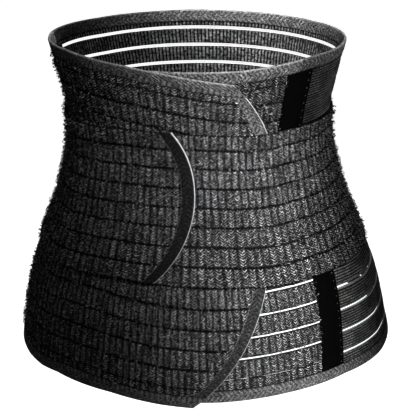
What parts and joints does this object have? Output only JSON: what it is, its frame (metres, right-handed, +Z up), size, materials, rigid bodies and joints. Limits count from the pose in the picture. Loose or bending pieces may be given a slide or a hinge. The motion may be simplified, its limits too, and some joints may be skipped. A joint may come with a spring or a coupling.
{
  "type": "abdominal binder",
  "caption": "Slotted elastic abdominal binder: wide belts wrapped round the waist and hips, each closed at the front by a rounded hook-and-loop flap.",
  "frame": {"origin": "centre of the waist, the narrowest level of the torso space inside", "axes": "+Z up the torso, -Y to the front where the flaps close, +X to the right of someone facing the front"},
  "size_m": [0.372, 0.2902, 0.3127],
  "materials": {
    "loop_cloth": "black brushed loop cloth in bands",
    "elastic_webbing": "black ribbed elastic webbing",
    "knit_binding": "dark grey knitted binding",
    "black_tape": "dull black tape, stitched",
    "hook_tape": "black hook fastener"
  },
  "bodies": {
    "root": {"upper_right_panel": "loop_cloth", "upper_left_flap": "loop_cloth", "upper_back_band_1": "elastic_webbing", "upper_back_band_2": "elastic_webbing", "upper_back_band_3": "elastic_webbing", "upper_back_band_4": "elastic_webbing", "upper_back_band_5": "elastic_webbing", "upper_back_band_6": "elastic_webbing", "upper_back_band_7": "elastic_webbing", "upper_back_band_8": "elastic_webbing", "upper_right_tape": "black_tape", "upper_left_tape": "black_tape", "upper_flap_end_binding": "knit_binding", "upper_hook_patch": "hook_tape", "upper_edge_binding_right": "knit_binding", "upper_edge_binding_back": "knit_binding", "upper_edge_binding_flap": "knit_binding", "middle_right_panel": "loop_cloth", "middle_left_flap": "loop_cloth", "middle_back_band_1": "elastic_webbing", "middle_back_band_2": "elastic_webbing", "middle_back_band_3": "elastic_webbing", "middle_back_band_4": "elastic_webbing", "middle_back_band_5": "elastic_webbing", "middle_back_band_6": "elastic_webbing", "middle_back_band_7": "elastic_webbing", "middle_back_band_8": "elastic_webbing", "middle_right_tape": "black_tape", "middle_left_tape": "black_tape", "middle_flap_end_binding": "knit_binding", "middle_hook_patch": "hook_tape", "lower_right_panel": "loop_cloth", "lower_left_flap": "loop_cloth", "lower_back_band_1": "elastic_webbing", "lower_back_band_2": "elastic_webbing", "lower_back_band_3": "elastic_webbing", "lower_back_band_4": "elastic_webbing", "lower_back_band_5": "elastic_webbing", "lower_back_band_6": "elastic_webbing", "lower_right_tape": "black_tape", "lower_left_tape": "black_tape", "lower_flap_end_binding": "knit_binding", "lower_hook_patch": "hook_tape", "lower_edge_binding_right": "knit_binding", "lower_edge_binding_back": "knit_binding", "lower_edge_binding_flap": "knit_binding"}
  },
  "joints": []
}
